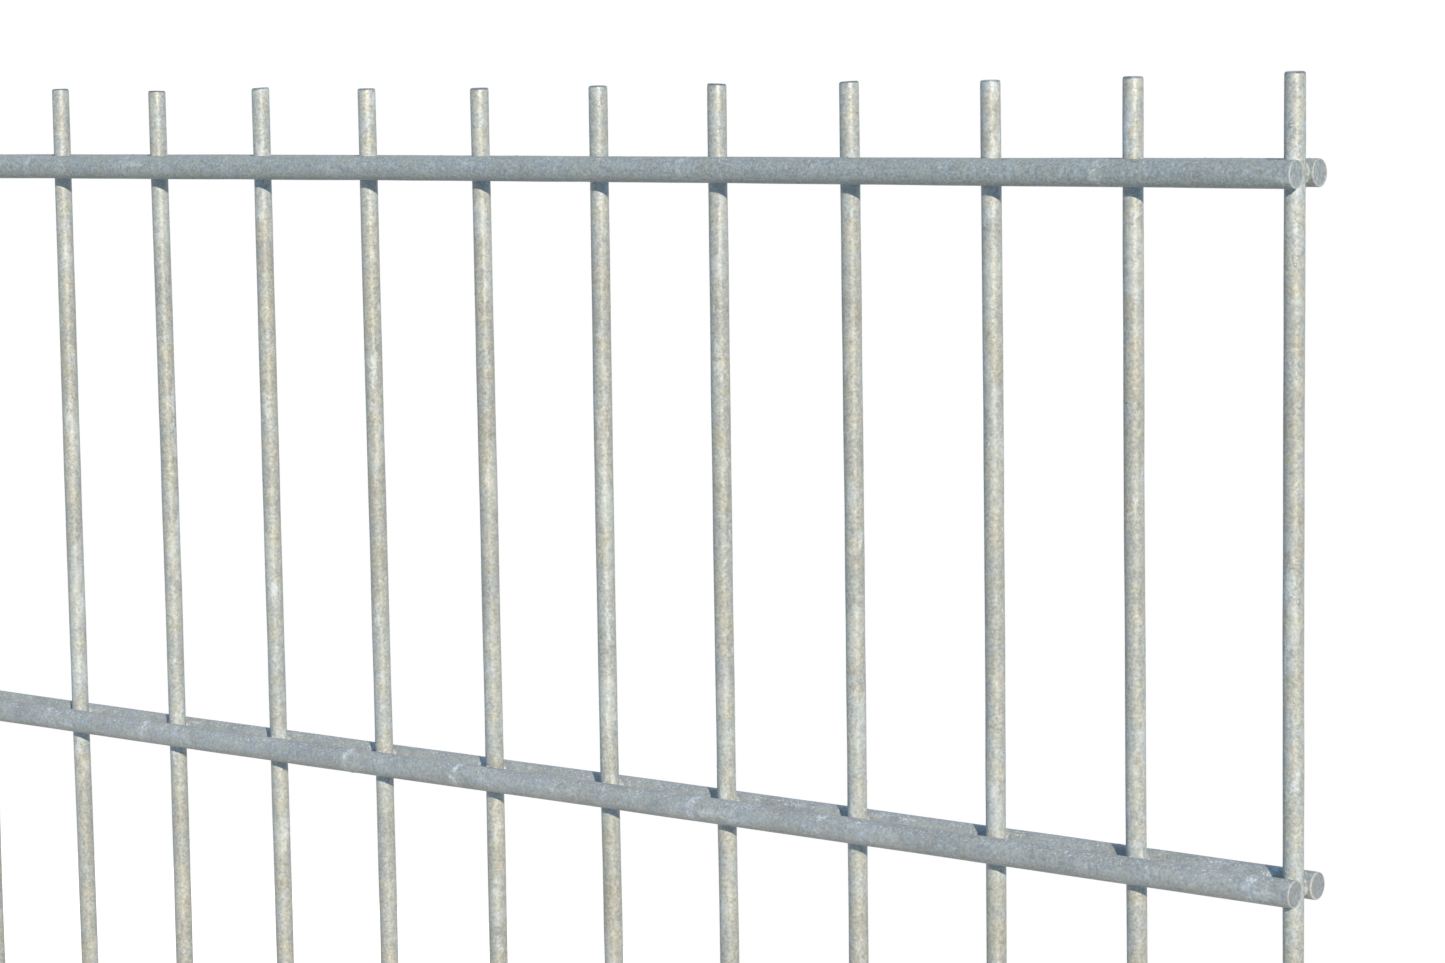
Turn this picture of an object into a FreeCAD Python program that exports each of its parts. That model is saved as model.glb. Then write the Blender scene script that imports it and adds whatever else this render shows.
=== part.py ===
"""A welded double-rail mesh fence panel, in millimetres.

The panel is a grid of round galvanised steel bars. Thin uprights stand side by side, and at every level
two thicker rails grip them, one in front and one behind. Each crossing is welded under pressure, so the
rails sink a little into the uprights. The uprights run past the top rails as a comb of free ends, and end
level with the underside of the bottom rails.

Frame: +X along the panel, +Y from the front rails to the back rails, +Z up. The origin is the centre of
the cut lower end of the middle upright.
"""

import FreeCAD, Part
import os
import Sketcher

# Each driving dimension: its name, its value and what it is.
DRIVING_DIMENSIONS = [
    ("upright_diameter", 6.0, "round bar of the uprights"),
    ("rail_diameter", 8.0, "round bar of the rails"),
    ("weld_set_down", 0.5, "depth that a rail sinks into an upright at the weld"),
    ("upright_pitch", 50.0, "from one upright to the next, centre to centre"),
    ("rail_pitch", 200.0, "from one pair of rails to the next, centre to centre"),
    ("rail_levels", 6, "pairs of rails"),
    ("top_free_length", 22.0, "free end of an upright above the top rails"),
    ("rail_end_length", 5.0, "from the outer upright's centre to the end of a rail"),
    ("upright_end_break", 0.4, "broken edge at both ends of an upright"),
    ("rail_end_break", 0.5, "broken edge at both ends of a rail"),
    ("groups_per_side", 6, "groups of inner uprights on each side of the middle one"),
    ("uprights_per_group", 4, "uprights in each of those groups"),
]

# Sizes that follow from the driving dimensions.
DERIVED_DIMENSIONS = [
    ("rail_offset", "(upright_diameter + rail_diameter) / 2 - weld_set_down", "rail axis from the mesh plane"),
    ("bottom_rail_height", "rail_diameter / 2", "axis of the bottom rails"),
    ("top_rail_height", "bottom_rail_height + (rail_levels - 1) * rail_pitch", "axis of the top rails"),
    ("panel_height", "top_rail_height + rail_diameter / 2 + top_free_length", "length of an upright"),
    ("end_upright_steps", "groups_per_side * uprights_per_group + 1", "pitches from the middle to an end"),
    ("rail_length", "2 * (end_upright_steps * upright_pitch + rail_end_length)", "length of a rail"),
]

SIZES = "Sizes"
PARTS_FOLDER = "parts"


def make_sheet(doc):
    """Makes the spreadsheet of named sizes that every body is bound to."""
    sheet = doc.addObject("Spreadsheet::Sheet", SIZES)
    for row, (name, value, meaning) in enumerate(DRIVING_DIMENSIONS + DERIVED_DIMENSIONS, start=1):
        sheet.set(f"A{row}", name)
        sheet.set(f"B{row}", f"={value}" if isinstance(value, str) else str(value))
        sheet.set(f"C{row}", meaning)
        sheet.setAlias(f"B{row}", name)
    doc.recompute()
    return sheet


def origin_feature(body, role):
    """Returns the body's own origin plane or axis with that role."""
    return next(feature for feature in body.Origin.OriginFeatures if feature.Role == role)


def new_sketch(body, name, plane_role):
    """Adds an empty sketch on one of the body's own origin planes."""
    sketch = body.newObject("Sketcher::SketchObject", name)
    sketch.AttachmentSupport = (origin_feature(body, plane_role), [""])
    sketch.MapMode = "FlatFace"
    return sketch


def add_circle(sketch, diameter, across="0", up="0"):
    """Adds a circle to a sketch, its diameter and its centre bound to sizes in the sheet."""
    circle = sketch.addGeometry(Part.Circle(FreeCAD.Vector(0, 0, 0), FreeCAD.Vector(0, 0, 1), 1.0), False)
    bindings = [
        (Sketcher.Constraint("DistanceX", -1, 1, circle, 3, 0.0), across),
        (Sketcher.Constraint("DistanceY", -1, 1, circle, 3, 0.0), up),
        (Sketcher.Constraint("Diameter", circle, 2.0), diameter),
    ]
    for constraint, expression in bindings:
        index = sketch.addConstraint(constraint)
        sketch.setExpression(f"Constraints[{index}]", expression)


def break_ends(body, bar, name, size):
    """Breaks the sharp edge round each cut end of a round bar."""
    body.Document.recompute()
    rims = [
        f"Edge{number}"
        for number, edge in enumerate(bar.Shape.Edges, start=1)
        if isinstance(edge.Curve, Part.Circle)
    ]
    chamfer = body.newObject("PartDesign::Chamfer", name)
    chamfer.Base = (bar, rims)
    chamfer.setExpression("Size", f"{SIZES}.{size}")
    return chamfer


def make_rail(doc, label, level, side):
    """Makes one rail: a round bar along X, in front (side -1) or behind (side 1), at a level from 0 up."""
    body = doc.addObject("PartDesign::Body", label)
    section = new_sketch(body, f"{label}_section", "YZ_Plane")
    add_circle(section, f"{SIZES}.rail_diameter")
    bar = body.newObject("PartDesign::Pad", f"{label}_bar")
    bar.Profile = section
    bar.Midplane = True
    bar.setExpression("Length", f"{SIZES}.rail_length")
    body.Tip = break_ends(body, bar, f"{label}_ends", "rail_end_break")
    body.setExpression("Placement.Base.y", f"{side} * {SIZES}.rail_offset")
    body.setExpression("Placement.Base.z", f"{SIZES}.bottom_rail_height + {level} * {SIZES}.rail_pitch")
    return body


def make_upright_pattern_bar(doc):
    """Makes the bar that every upright is a copy of: round, cut square, with a seat for every rail on it."""
    label = "upright_bar"
    body = doc.addObject("PartDesign::Body", label)
    section = new_sketch(body, f"{label}_section", "XY_Plane")
    add_circle(section, f"{SIZES}.upright_diameter")
    bar = body.newObject("PartDesign::Pad", f"{label}_length")
    bar.Profile = section
    bar.setExpression("Length", f"{SIZES}.panel_height")
    break_ends(body, bar, f"{label}_ends", "upright_end_break")

    rails = new_sketch(body, f"{label}_rail_pair", "YZ_Plane")
    for side in (-1, 1):
        add_circle(
            rails,
            f"{SIZES}.rail_diameter",
            across=f"{side} * {SIZES}.rail_offset",
            up=f"{SIZES}.bottom_rail_height",
        )
    seat = body.newObject("PartDesign::Pocket", f"{label}_seat")
    seat.Profile = rails
    seat.Type = "ThroughAll"
    seat.Midplane = True
    seats = body.newObject("PartDesign::LinearPattern", f"{label}_seats")
    seats.Originals = [seat]
    seats.Direction = (origin_feature(body, "Z_Axis"), [""])
    seats.setExpression("Occurrences", f"{SIZES}.rail_levels")
    seats.setExpression("Length", f"({SIZES}.rail_levels - 1) * {SIZES}.rail_pitch")
    body.Tip = seats
    return body


def make_uprights(doc, label, bar, first_step, count="1"):
    """Makes uprights side by side, one pitch apart, from copies of the one bar.

    first_step and count, the place of the first upright in pitches from the middle of the panel and the
    number of uprights, are expressions on the sheet. The uprights of one group don't touch each other.
    """
    body = doc.addObject("PartDesign::Body", label)
    body.AllowCompound = True
    body.BaseFeature = bar
    first = body.Tip
    row = body.newObject("PartDesign::LinearPattern", f"{label}_row")
    row.BaseFeature = first
    row.TransformMode = "Whole shape"
    row.Direction = (origin_feature(body, "X_Axis"), [""])
    row.setExpression("Occurrences", count)
    row.setExpression("Length", f"({count} - 1) * {SIZES}.upright_pitch")
    body.Tip = row
    body.setExpression("Placement.Base.x", f"({first_step}) * {SIZES}.upright_pitch")
    return body


def make_all_rails(doc, sheet):
    """Makes a front and a back rail at every level, named from the bottom up."""
    levels = int(sheet.rail_levels)
    names = ["bottom_rail"] + [f"rail_{number}" for number in range(2, levels)] + ["top_rail"]
    sides = {"front": -1, "back": 1}
    return [
        make_rail(doc, f"{name}_{side_name}", level, side)
        for level, name in enumerate(names)
        for side_name, side in sides.items()
    ]


def make_all_uprights(doc, sheet):
    """Makes the middle upright, the two end ones and the groups between them."""
    bar = make_upright_pattern_bar(doc)
    group_size = f"{SIZES}.uprights_per_group"
    bodies = [
        make_uprights(doc, "left_end_upright", bar, f"-{SIZES}.end_upright_steps"),
        make_uprights(doc, "middle_upright", bar, "0"),
        make_uprights(doc, "right_end_upright", bar, f"{SIZES}.end_upright_steps"),
    ]
    for group in range(int(sheet.groups_per_side)):
        left_start = f"-{group + 1} * {group_size}"
        right_start = f"{group} * {group_size} + 1"
        bodies.append(make_uprights(doc, f"left_uprights_{group + 1}", bar, left_start, group_size))
        bodies.append(make_uprights(doc, f"right_uprights_{group + 1}", bar, right_start, group_size))
    return bodies


def check_document(doc, bodies):
    """Stops if any object failed to build, or any sub-part is null or not valid."""
    failed = [obj.Name for obj in doc.Objects if {"Invalid", "Error"} & set(obj.State)]
    if failed:
        raise RuntimeError(f"these objects failed to build: {failed}")
    for body in bodies:
        if body.Shape.isNull() or not body.Shape.isValid() or not body.Shape.Solids:
            raise RuntimeError(f"{body.Label} has no valid solid")


def export_parts(bodies):
    """Writes each sub-part to a STEP file of its own name."""
    os.makedirs(PARTS_FOLDER, exist_ok=True)
    for body in bodies:
        body.Shape.exportStep(os.path.join(PARTS_FOLDER, f"{body.Label}.step"))


def main():
    """Builds the whole panel and returns its document and its sub-parts."""
    doc = FreeCAD.newDocument("MeshPanel")
    sheet = make_sheet(doc)
    bodies = make_all_rails(doc, sheet) + make_all_uprights(doc, sheet)
    doc.recompute()
    check_document(doc, bodies)
    export_parts(bodies)
    return doc, bodies


main()
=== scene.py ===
"""Dresses the galvanised mesh panel: its bars, the zinc at its welds, its finishes, light and camera.

Every size is in metres, in the panel's own frame: +X along the panel, +Y from the front rails to the back
rails, +Z up, with the origin at the foot of the middle upright.
"""

import logging
import math
from collections.abc import Callable
from dataclasses import dataclass, field, replace
from enum import Enum

import bpy
import numpy as np
from mathutils import Matrix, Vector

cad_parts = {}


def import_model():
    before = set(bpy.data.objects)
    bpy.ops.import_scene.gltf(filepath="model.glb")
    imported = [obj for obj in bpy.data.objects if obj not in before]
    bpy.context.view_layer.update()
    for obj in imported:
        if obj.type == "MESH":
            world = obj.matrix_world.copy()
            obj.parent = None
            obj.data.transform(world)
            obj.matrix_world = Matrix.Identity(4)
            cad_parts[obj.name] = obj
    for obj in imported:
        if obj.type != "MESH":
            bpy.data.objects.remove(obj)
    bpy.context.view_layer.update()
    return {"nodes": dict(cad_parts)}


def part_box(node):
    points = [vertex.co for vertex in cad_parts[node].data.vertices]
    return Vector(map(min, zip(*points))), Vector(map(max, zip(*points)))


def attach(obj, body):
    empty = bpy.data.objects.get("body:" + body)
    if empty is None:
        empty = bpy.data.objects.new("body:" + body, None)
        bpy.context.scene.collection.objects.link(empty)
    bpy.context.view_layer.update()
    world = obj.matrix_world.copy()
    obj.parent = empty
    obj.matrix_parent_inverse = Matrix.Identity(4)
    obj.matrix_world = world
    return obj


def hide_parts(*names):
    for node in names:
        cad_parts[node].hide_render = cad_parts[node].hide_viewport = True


LOG = logging.getLogger("mesh_panel")
MM = 0.001
TURN = 2.0 * math.pi
SEED = 8608
DIGITS = 4
HALF = 0.5
PHOTO_WIDTH = 1445
MAP_NAME = "OFBake"

Pair = tuple[float, float]
Colour = tuple[float, float, float]


class Side(Enum):
    """The face of the mesh that a rail is welded to, with its direction along Y."""

    FRONT = -1
    BACK = 1


class Direction(Enum):
    """The way a bar runs."""

    UP = "up"
    LEVEL = "level"

class Detail(Enum):
    """Detail and roughness of a noise."""

    PLAIN = (1.0, 0.5)
    SOFT = (2.0, 0.5)
    CRISP = (2.0, 0.6)
    SHARP = (2.0, 0.7)
    FINE = (3.0, 0.6)
    GRAINY = (3.0, 0.7)
    FINEST = (4.0, 0.6)


class Mixing(Enum):
    """How two colours are mixed, in Blender's words."""

    BLEND = "MIX"
    MULTIPLY = "MULTIPLY"


class Draw(Enum):
    """What random numbers are for. Each value, times a bar's number, keeps their seeds apart."""

    PLACES = 1
    BEAD_LENGTHS = 7
    FOOT = 11
    WAVES = 31
    DRIFT = 57
    LEAN = 83
    CREST = 401
    DRIPS = 773
    GRAINS = 991

    def numbers(self, number: int) -> np.random.Generator:
        """The random numbers for one bar, the same each time."""
        return np.random.default_rng(SEED + self.value * number)


# Sizes read from the frame


@dataclass(frozen=True)
class RailPlace:
    """Where one rail lies.

    Attributes:
        node: name of the rail's node in the frame.
        side: front or back of the mesh.
        height: height of the rail's axis.
    """

    node: str
    side: Side
    height: float


@dataclass(frozen=True)
class UprightPlace:
    """Where the uprights of one node stand.

    Attributes:
        node: name of the node in the frame.
        places: nominal X of each upright.
    """

    node: str
    places: tuple[float, ...]


@dataclass(frozen=True)
class PanelLayout:
    """Sizes and places that the bars and welds share.

    Attributes:
        rails: every rail.
        uprights: every node of uprights.
        half_length: from the middle of the panel to a rail's end.
        foot: height of the uprights' lower ends.
        tip: nominal height of their upper ends.
        upright_radius: radius of an upright.
        rail_radius: radius of a rail.
        pitch: distance from one upright to the next.
        set_down: depth that a rail is pressed into an upright.
        seen_shift: sideways shift in millimetres of each upright in view, from the right end on.
        seen_rise: height in millimetres of each tip in view over the nominal one, in the same order.
        shift_range: least and most shift of any other upright.
        rise_range: least and most rise of any other tip.
        first_tip: number of the first random draw for a tip.
    """

    rails: tuple[RailPlace, ...]
    uprights: tuple[UprightPlace, ...]
    half_length: float
    foot: float
    tip: float
    upright_radius: float = 3.0 * MM
    rail_radius: float = 4.0 * MM
    pitch: float = 50.0 * MM
    set_down: float = 0.5 * MM
    seen_shift: tuple[float, ...] = (0.9, -0.9, 0.3, -0.7, -1.2, 0.9, 0.8, 0.7, 0.5, -0.4, -0.7, -2.2)
    seen_rise: tuple[float, ...] = (1.8, 1.0, 0.5, 0.7, 0.5, 0.3, 0.1, 0.4, 1.1, 0.5, 1.6, 0.8)
    shift_range: Pair = (-0.9, 0.9)
    rise_range: Pair = (0.1, 1.5)
    first_tip: int = 1000

    @classmethod
    def from_frame(cls, nodes: list[str]) -> "PanelLayout":
        """Reads the places of the bars from the boxes of their nodes.

        Args:
            nodes: names of the frame's nodes.

        Returns:
            The layout of the whole panel.
        """
        sides = {"front": Side.FRONT, "back": Side.BACK}
        rails, uprights = [], []
        for node in sorted(nodes):
            low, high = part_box(node)
            ending = node.rsplit("_", 1)[-1]
            if ending in sides:
                rails.append(RailPlace(node, sides[ending], round((low.z + high.z) / 2, DIGITS)))
                half_length = high.x
            else:
                first = low.x + cls.upright_radius
                count = round((high.x - cls.upright_radius - first) / cls.pitch) + 1
                places = tuple(round(first + cls.pitch * step, DIGITS) for step in range(count))
                uprights.append(UprightPlace(node, places))
                foot, tip = low.z, high.z
        return cls(tuple(rails), tuple(uprights), half_length, foot, tip)

    @property
    def rail_offset(self) -> float:
        """Distance from the mesh plane to a rail's axis."""
        return self.upright_radius + self.rail_radius - self.set_down

    @property
    def all_uprights(self) -> np.ndarray:
        """Nominal X of every upright, from left to right."""
        return np.sort(np.array([x for place in self.uprights for x in place.places]))

    @property
    def rail_heights(self) -> np.ndarray:
        """Height of every pair of rails, from the bottom up."""
        return np.unique([rail.height for rail in self.rails])

    def step_from_right(self, place: float) -> int:
        """Number of pitches from the right end upright to this one."""
        return round((self.all_uprights[-1] - place) / self.pitch)

    def error(self, place: float, seen: tuple[float, ...], spread: Pair, first: int) -> float:
        """A small error of one upright: measured for those in view, and random for the others.

        Args:
            place: nominal X of the upright.
            seen: measured errors in millimetres, from the right end on.
            spread: least and most random error in millimetres.
            first: number of the first random draw.

        Returns:
            The error.
        """
        step = self.step_from_right(place)
        if step < len(seen):
            return seen[step] * MM
        return Draw.PLACES.numbers(first + step).uniform(*spread) * MM

    def true_place(self, place: float) -> float:
        """Where an upright stands once the small error of its weld is added to its nominal X."""
        return place + self.error(place, self.seen_shift, self.shift_range, 0)

    def true_tip(self, place: float) -> float:
        """Height of an upright's cut tip."""
        return self.tip + self.error(place, self.seen_rise, self.rise_range, self.first_tip)


# Surfaces as arrays


@dataclass
class Surface:
    """Faces worked out as arrays, before they become a mesh.

    Attributes:
        points: places of the vertices, one row each.
        quads: four vertex numbers for each four-sided face.
        quad_map: place of each corner of those faces on the texture.
        quad_smooth: whether each of those faces is shaded smooth.
        fans: three vertex numbers for each triangle that closes a pole.
        fan_map: place of each corner of those triangles on the texture.
        fan_smooth: whether those triangles are shaded smooth.
    """

    points: np.ndarray
    quads: np.ndarray
    quad_map: np.ndarray
    quad_smooth: np.ndarray
    fans: np.ndarray = field(default_factory=lambda: np.zeros((0, 3), int))
    fan_map: np.ndarray = field(default_factory=lambda: np.zeros((0, 3, 2)))
    fan_smooth: bool = False

    @staticmethod
    def joined(parts: list["Surface"]) -> "Surface":
        """Puts several surfaces into one, each with its vertex numbers moved past those before it.

        Args:
            parts: the surfaces, whose triangles are all shaded alike.

        Returns:
            The one surface.
        """
        starts = np.cumsum([0] + [len(part.points) for part in parts[:-1]])
        rows = [
            (one.points, one.quads + start, one.quad_map, one.quad_smooth, one.fans + start, one.fan_map)
            for one, start in zip(parts, starts)
        ]
        return Surface(*(np.concatenate(column) for column in zip(*rows)), parts[0].fan_smooth)

    @staticmethod
    def in_columns(parts: list["Surface"]) -> "Surface":
        """Joins surfaces that each fill the whole texture, giving each its own column of it.

        Args:
            parts: the surfaces.

        Returns:
            The one surface.
        """
        size, moved = np.array([1 / len(parts), 1.0]), []
        for slot, part in enumerate(parts):
            corner = [slot / len(parts), 0.0]
            quad_map, fan_map = part.quad_map * size + corner, part.fan_map * size + corner
            moved.append(replace(part, quad_map=quad_map, fan_map=fan_map))
        return Surface.joined(moved)

    def facing_out(self) -> "Surface":
        """Turns the faces round if they enclose a negative volume.

        The volume is a sixth of the sum, over triangles, of a corner dotted with the cross product of the
        other two.

        Returns:
            A surface whose faces point outwards.
        """
        split = np.concatenate([self.quads[:, [0, 1, 2]], self.quads[:, [0, 2, 3]], self.fans])
        a, b, c = (self.points[split[:, corner]] for corner in range(3))
        if np.einsum("ij,ij->i", a, np.cross(b, c)).sum() >= 0:
            return self
        names = ("quads", "quad_map", "fans", "fan_map")
        return replace(self, **{name: getattr(self, name)[:, ::-1] for name in names})

    def to_object(self, name: str, material: bpy.types.Material) -> bpy.types.Object:
        """Makes the mesh object.

        Args:
            name: name of the piece.
            material: its finish.

        Returns:
            The object, linked to the scene at the origin.
        """
        mesh = bpy.data.meshes.new(name)
        corners = np.concatenate([self.quads.ravel(), self.fans.ravel()])
        starts = np.concatenate(
            [np.arange(len(self.quads)) * 4, 4 * len(self.quads) + np.arange(len(self.fans)) * 3]
        )
        smooth = np.concatenate([self.quad_smooth, np.full(len(self.fans), self.fan_smooth)])
        mesh.vertices.add(len(self.points))
        mesh.vertices.foreach_set("co", self.points.astype(np.float32).ravel())
        mesh.loops.add(len(corners))
        mesh.loops.foreach_set("vertex_index", corners.astype(np.int32))
        mesh.polygons.add(len(starts))
        mesh.polygons.foreach_set("loop_start", starts.astype(np.int32))
        mesh.polygons.foreach_set("use_smooth", smooth)
        mesh.update(calc_edges=True)
        layer = mesh.uv_layers.new(name=MAP_NAME)
        places = np.concatenate([self.quad_map.reshape(-1, 2), self.fan_map.reshape(-1, 2)])
        layer.uv.foreach_set("vector", places.astype(np.float32).ravel())
        mesh.validate()
        mesh.materials.append(material)
        piece = bpy.data.objects.new(name, mesh)
        bpy.context.scene.collection.objects.link(piece)
        return piece


def grid_corners(rows: int, columns: int, loop_rows: bool = False) -> tuple[np.ndarray, np.ndarray]:
    """Numbers the corners of the faces of a grid whose columns close on themselves.

    Face (i, j) has the corners (i, j), (i, j + 1), (i + 1, j + 1) and (i + 1, j).

    Args:
        rows: rings of the grid.
        columns: points in each ring.
        loop_rows: whether the last ring also joins the first.

    Returns:
        The vertex numbers of each face's corners, and the (row, column) of each corner, not wrapped.
    """
    i, j = np.meshgrid(np.arange(rows if loop_rows else rows - 1), np.arange(columns), indexing="ij")
    i, j = i.ravel(), j.ravel()
    row = np.stack([i, i, i + 1, i + 1], 1)
    column = np.stack([j, j + 1, j + 1, j], 1)
    return (row % rows) * columns + column % columns, np.stack([row, column], 2)


def repeated(points: np.ndarray, faces: np.ndarray) -> np.ndarray:
    """Repeats one copy's faces for every copy in a stack of equal sets of points.

    Args:
        points: array whose first axis counts the copies.
        faces: the faces of one copy.

    Returns:
        The faces of all copies.
    """
    size = int(np.prod(points.shape[1:-1]))
    return (faces[None] + np.arange(len(points))[:, None, None] * size).reshape(-1, faces.shape[1])


def cell_map(copies: int, across: np.ndarray, up: np.ndarray, margin: float = 0.06) -> np.ndarray:
    """Gives each copy of a small form a cell of its own on the texture.

    Args:
        copies: number of copies.
        across: place of each corner across its cell, from 0 to 1.
        up: the same, up the cell.
        margin: share of a cell that stays free round the form.

    Returns:
        The place of every corner of every copy.
    """
    columns = math.ceil(math.sqrt(copies))
    number = np.arange(copies)
    cell = np.stack([number % columns, number // columns], 1)
    inside = margin + (1 - 2 * margin) * np.stack([across, up], -1)
    return ((cell[:, None, None] + inside[None]) / columns).reshape(-1, across.shape[1], 2)


def pole_fans(rings: int, columns: int) -> np.ndarray:
    """Closes both ends of a grid with triangles round two poles, whose points follow the grid's own.

    Args:
        rings: rings of the grid.
        columns: points in each ring.

    Returns:
        The vertex numbers of the triangles' corners, those round the first pole first.
    """
    j = np.arange(columns)
    after = (j + 1) % columns
    pole = np.full(columns, rings * columns)
    last = (rings - 1) * columns
    return np.concatenate([np.stack([pole, after, j], 1), np.stack([pole + 1, last + j, last + after], 1)])


# Bars


@dataclass(frozen=True)
class CutEnd:
    """How a bar's cut end looks, as a turned profile.

    Attributes:
        share: radius of each ring, as a share of the bar's, from the middle of the cut outwards.
        depth: how far each ring lies below the highest part of the cut.
        pole_depth: the same at the middle of the cut.
    """

    share: tuple[float, ...]
    depth: tuple[float, ...]
    pole_depth: float = 0.0


SHEARED_TIP = CutEnd((0.5, 0.8, 0.92, 0.98, 1.0), (0.0, 0.03 * MM, 0.15 * MM, 0.5 * MM, 1.0 * MM))
ZINC_RIMMED_END = CutEnd(
    (0.5, 0.8, 0.86, 0.92, 0.965, 0.99, 1.0),
    (0.12 * MM, 0.12 * MM, 0.04 * MM, 0.0, 0.05 * MM, 0.17 * MM, 0.42 * MM),
    0.13 * MM,
)


@dataclass
class BarShape:
    """One round bar, a surface of the angle round it and the distance along it.

    The radius at an angle and a distance is the bar's radius, times one plus a sum of sine waves in both.
    The axis drifts sideways on two slow sine waves. Both ends are closed by the profile of their cut, and a
    sheared cut leans.

    Attributes:
        start: first end of the axis.
        direction: the way the bar runs.
        length: its length.
        radius: its radius.
        end: look of its cut ends.
        number: number of the bar, which seeds its waves.
        segments: points in each ring.
        step: distance between rings.
        lump: height of the zinc's waves, as a share of the radius.
        waves: turns round the bar and length in millimetres of each of those waves.
        wave_stretch: least and most factor of their lengths.
        drift: most that the axis strays.
        drift_length: least and greatest length of the waves that it strays on.
        lean: most that a cut leans, as a slope.
        lean_length: length of bar that a leaning cut bends.
        flat_bands: bands of faces at each end that are shaded flat.
        strips: lengths that the bar is cut into on the texture.
        slot: number of the bar among those that share a piece.
        slots: bars that share the piece.
        margin: share of a strip that stays free at its ends and at its sides.
        disc: radius of a cut end on the texture, as a share of a strip's height.
    """

    start: tuple[float, float, float]
    direction: Direction
    length: float
    radius: float
    end: CutEnd
    number: int
    segments: int = 20
    step: float = 8.0 * MM
    lump: float = 0.016
    waves: tuple[Pair, ...] = ((0, 43.0), (1, 61.0), (1, 97.0), (2, 37.0), (2, 150.0), (3, 71.0))
    wave_stretch: Pair = (0.8, 1.3)
    drift: float = 0.22 * MM
    drift_length: Pair = (0.35, 0.75)
    lean: float = 0.045
    lean_length: float = 4.0 * MM
    flat_bands: int = 2
    strips: int = 4
    slot: int = 0
    slots: int = 1
    margin: Pair = (0.01, 0.08)
    disc: float = 0.42

    def stations(self) -> tuple[np.ndarray, np.ndarray]:
        """Works out where the rings lie.

        Returns:
            The distance of each ring along the bar, and its share of the radius.
        """
        depth, share = np.array(self.end.depth), self.end.share
        low, high = depth[-1], self.length - depth[-1]
        count = max(3, round((high - low) / self.step) + 1)
        wall = np.linspace(low, high, count)[1:-1]
        along = np.concatenate([depth, wall, self.length - depth[::-1]])
        return along, np.concatenate([share, np.ones(len(wall)), share[::-1]])

    def lumps(self, angle: np.ndarray, along: np.ndarray) -> np.ndarray:
        """Sum of six sine waves in the angle and the distance, from about -1 to 1.

        Args:
            angle: angle round the bar.
            along: distance along it.

        Returns:
            The sum at each place.
        """
        random = Draw.WAVES.numbers(self.number)
        total = np.zeros(np.broadcast(angle, along).shape)
        for turns, wavelength in self.waves:
            wavelength *= MM * random.uniform(*self.wave_stretch)
            total += np.sin(turns * angle + TURN * along / wavelength + random.uniform(0, TURN)) / 3
        return total

    def axis_drift(self, along: np.ndarray) -> np.ndarray:
        """Sideways place of the axis: in each of the two directions, a slow sine wave.

        Args:
            along: distance along the bar.

        Returns:
            The two coordinates across the bar, in metres.
        """
        random = Draw.DRIFT.numbers(self.number)
        pairs = [(random.uniform(*self.drift_length), random.uniform(0, TURN)) for _ in range(2)]
        return self.drift * np.stack([np.sin(TURN * along / length + turn) for length, turn in pairs], -1)

    def placed(self, sideways: np.ndarray, along: np.ndarray) -> np.ndarray:
        """Turns places across and along the bar into places in the panel's frame.

        Args:
            sideways: the two coordinates across the bar.
            along: the distance along it.

        Returns:
            Places in the panel's frame.
        """
        first, second = sideways[..., 0], sideways[..., 1]
        along = np.broadcast_to(along, first.shape)
        local = (first, second, along) if self.direction is Direction.UP else (along, first, second)
        return np.stack(local, -1) + np.array(self.start)

    def surface(self) -> Surface:
        """Builds the bar.

        Returns:
            Its closed surface.
        """
        along, share = self.stations()
        angle = np.arange(self.segments) * TURN / self.segments
        radius = self.radius * share[:, None] * (1 + self.lump * self.lumps(angle[None], along[:, None]))
        across = radius[..., None] * np.stack([np.cos(angle), np.sin(angle)], -1)
        slopes = Draw.LEAN.numbers(self.number).uniform(-self.lean, self.lean, (2, 2))
        from_ends = (along, self.length - along)
        near = [np.clip(1 - distance / self.lean_length, 0, 1)[:, None] ** 2 for distance in from_ends]
        leaning = (across @ slopes[0]) * near[0] + (across @ slopes[1]) * near[1]
        rings = self.placed(across + self.axis_drift(along)[:, None], along[:, None] + leaning)
        pole_along = np.array([self.end.pole_depth, self.length - self.end.pole_depth])
        poles = self.placed(self.axis_drift(pole_along), pole_along)
        quads, places = grid_corners(len(along), self.segments)
        row = places[:, 0, 0]
        return Surface(
            np.concatenate([rings.reshape(-1, 3), poles]),
            quads,
            self.quad_places(places, share),
            (row >= self.flat_bands) & (row < len(along) - 1 - self.flat_bands),
            pole_fans(len(along), self.segments),
            self.fan_places(),
        ).facing_out()

    def cut_place(self, reach: np.ndarray, turn: np.ndarray, far: np.ndarray | int) -> np.ndarray:
        """Place on the texture of a point on a cut end: the two discs of each bar lie in the last strip.

        Args:
            reach: share of the radius.
            turn: share of a full turn.
            far: 1 at the far end and 0 at the first.

        Returns:
            The place of each point.
        """
        strips = self.slots * self.strips + 1
        size = self.disc / strips
        across = (self.slot + (far + 0.5) / 2) / self.slots + size * reach * np.cos(TURN * turn)
        return np.stack([across, (strips - 0.5) / strips + size * reach * np.sin(TURN * turn)], -1)

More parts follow.
